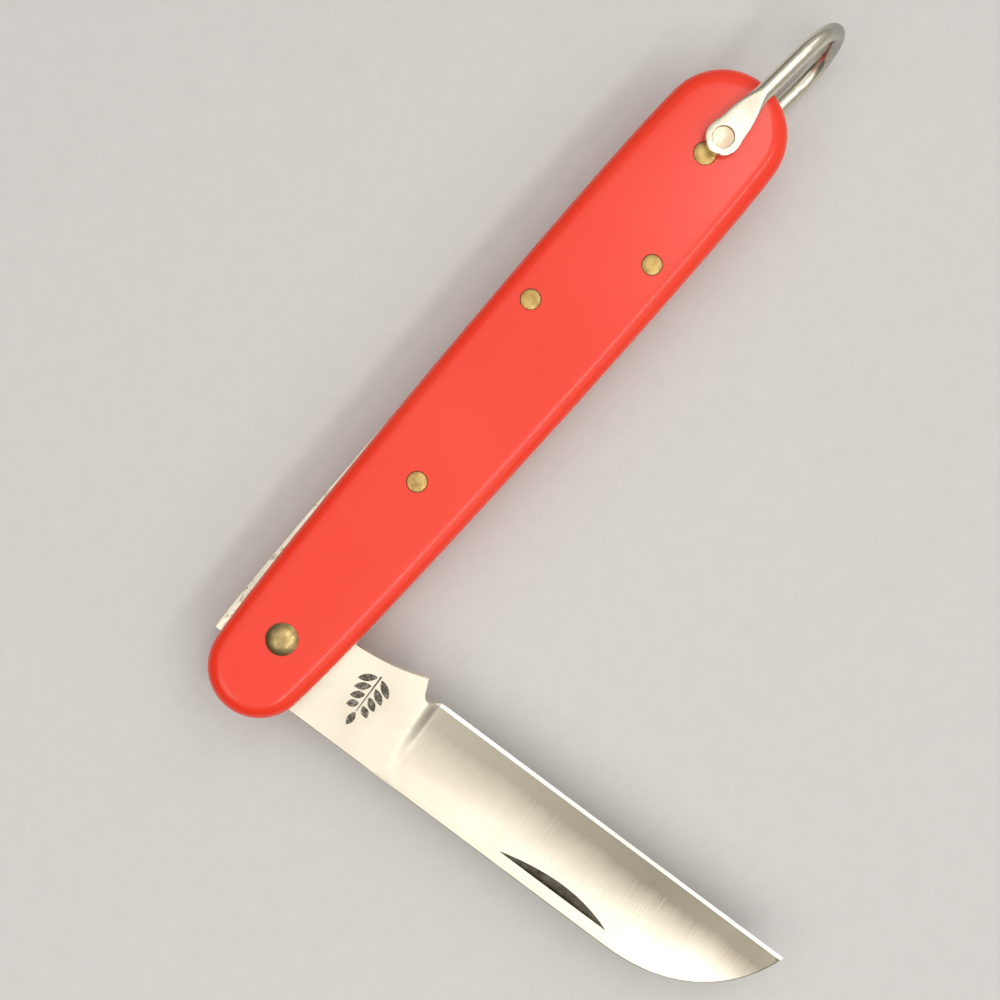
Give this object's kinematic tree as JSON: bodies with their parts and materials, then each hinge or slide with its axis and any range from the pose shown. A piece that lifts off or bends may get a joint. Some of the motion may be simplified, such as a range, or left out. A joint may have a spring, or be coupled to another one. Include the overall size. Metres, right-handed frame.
{
  "type": "folding grafting knife",
  "caption": "Folding grafting knife with red plastic scales, brass pins, a straight-edged steel blade with a nail nick, and a wire bail.",
  "frame": {"origin": "on the blade's pivot axis, at mid thickness of the knife", "axes": "+X along the handle from the pivot to the bail, +Y towards the backspring's side, +Z out through the front scale. The blade rests half open."},
  "size_m": [0.112, 0.0806, 0.0144],
  "materials": {
    "scale": "satin gloss, moulded",
    "liner": "rolled sheet",
    "spring_steel": "ground and lightly polished",
    "blade_steel": "fine ground, polished at the tang",
    "pivot_brass": "peened, tarnished",
    "pin_brass": "sanded flush",
    "bail_wire": "nickel plated"
  },
  "bodies": {
    "handle": {"front_scale": "scale", "rear_scale": "scale", "front_liner": "liner", "rear_liner": "liner", "backspring": "spring_steel", "pivot_pin": "pivot_brass", "spring_pin": "pin_brass", "end_pin": "pin_brass", "bail_pin": "bail_wire", "front_scale_pin_fore": "pin_brass", "front_scale_pin_aft": "pin_brass", "rear_scale_pin_fore": "pin_brass", "rear_scale_pin_aft": "pin_brass"},
    "blade": {"blade": "blade_steel"},
    "bail": {"bail": "bail_wire"}
  },
  "joints": [
    {"name": "blade_fold", "type": "hinge", "parent": "handle", "child": "blade", "pos_m": [0, 0, 0], "axis": [0, 0, 1], "range_deg": [-94.3, 79.5], "deforming": ["backspring"]},
    {"name": "bail_swing", "type": "hinge", "parent": "handle", "child": "bail", "pos_m": [0.07995, -0.00045, 0], "axis": [0, 0, 1], "range_deg": [-133, 148]}
  ]
}
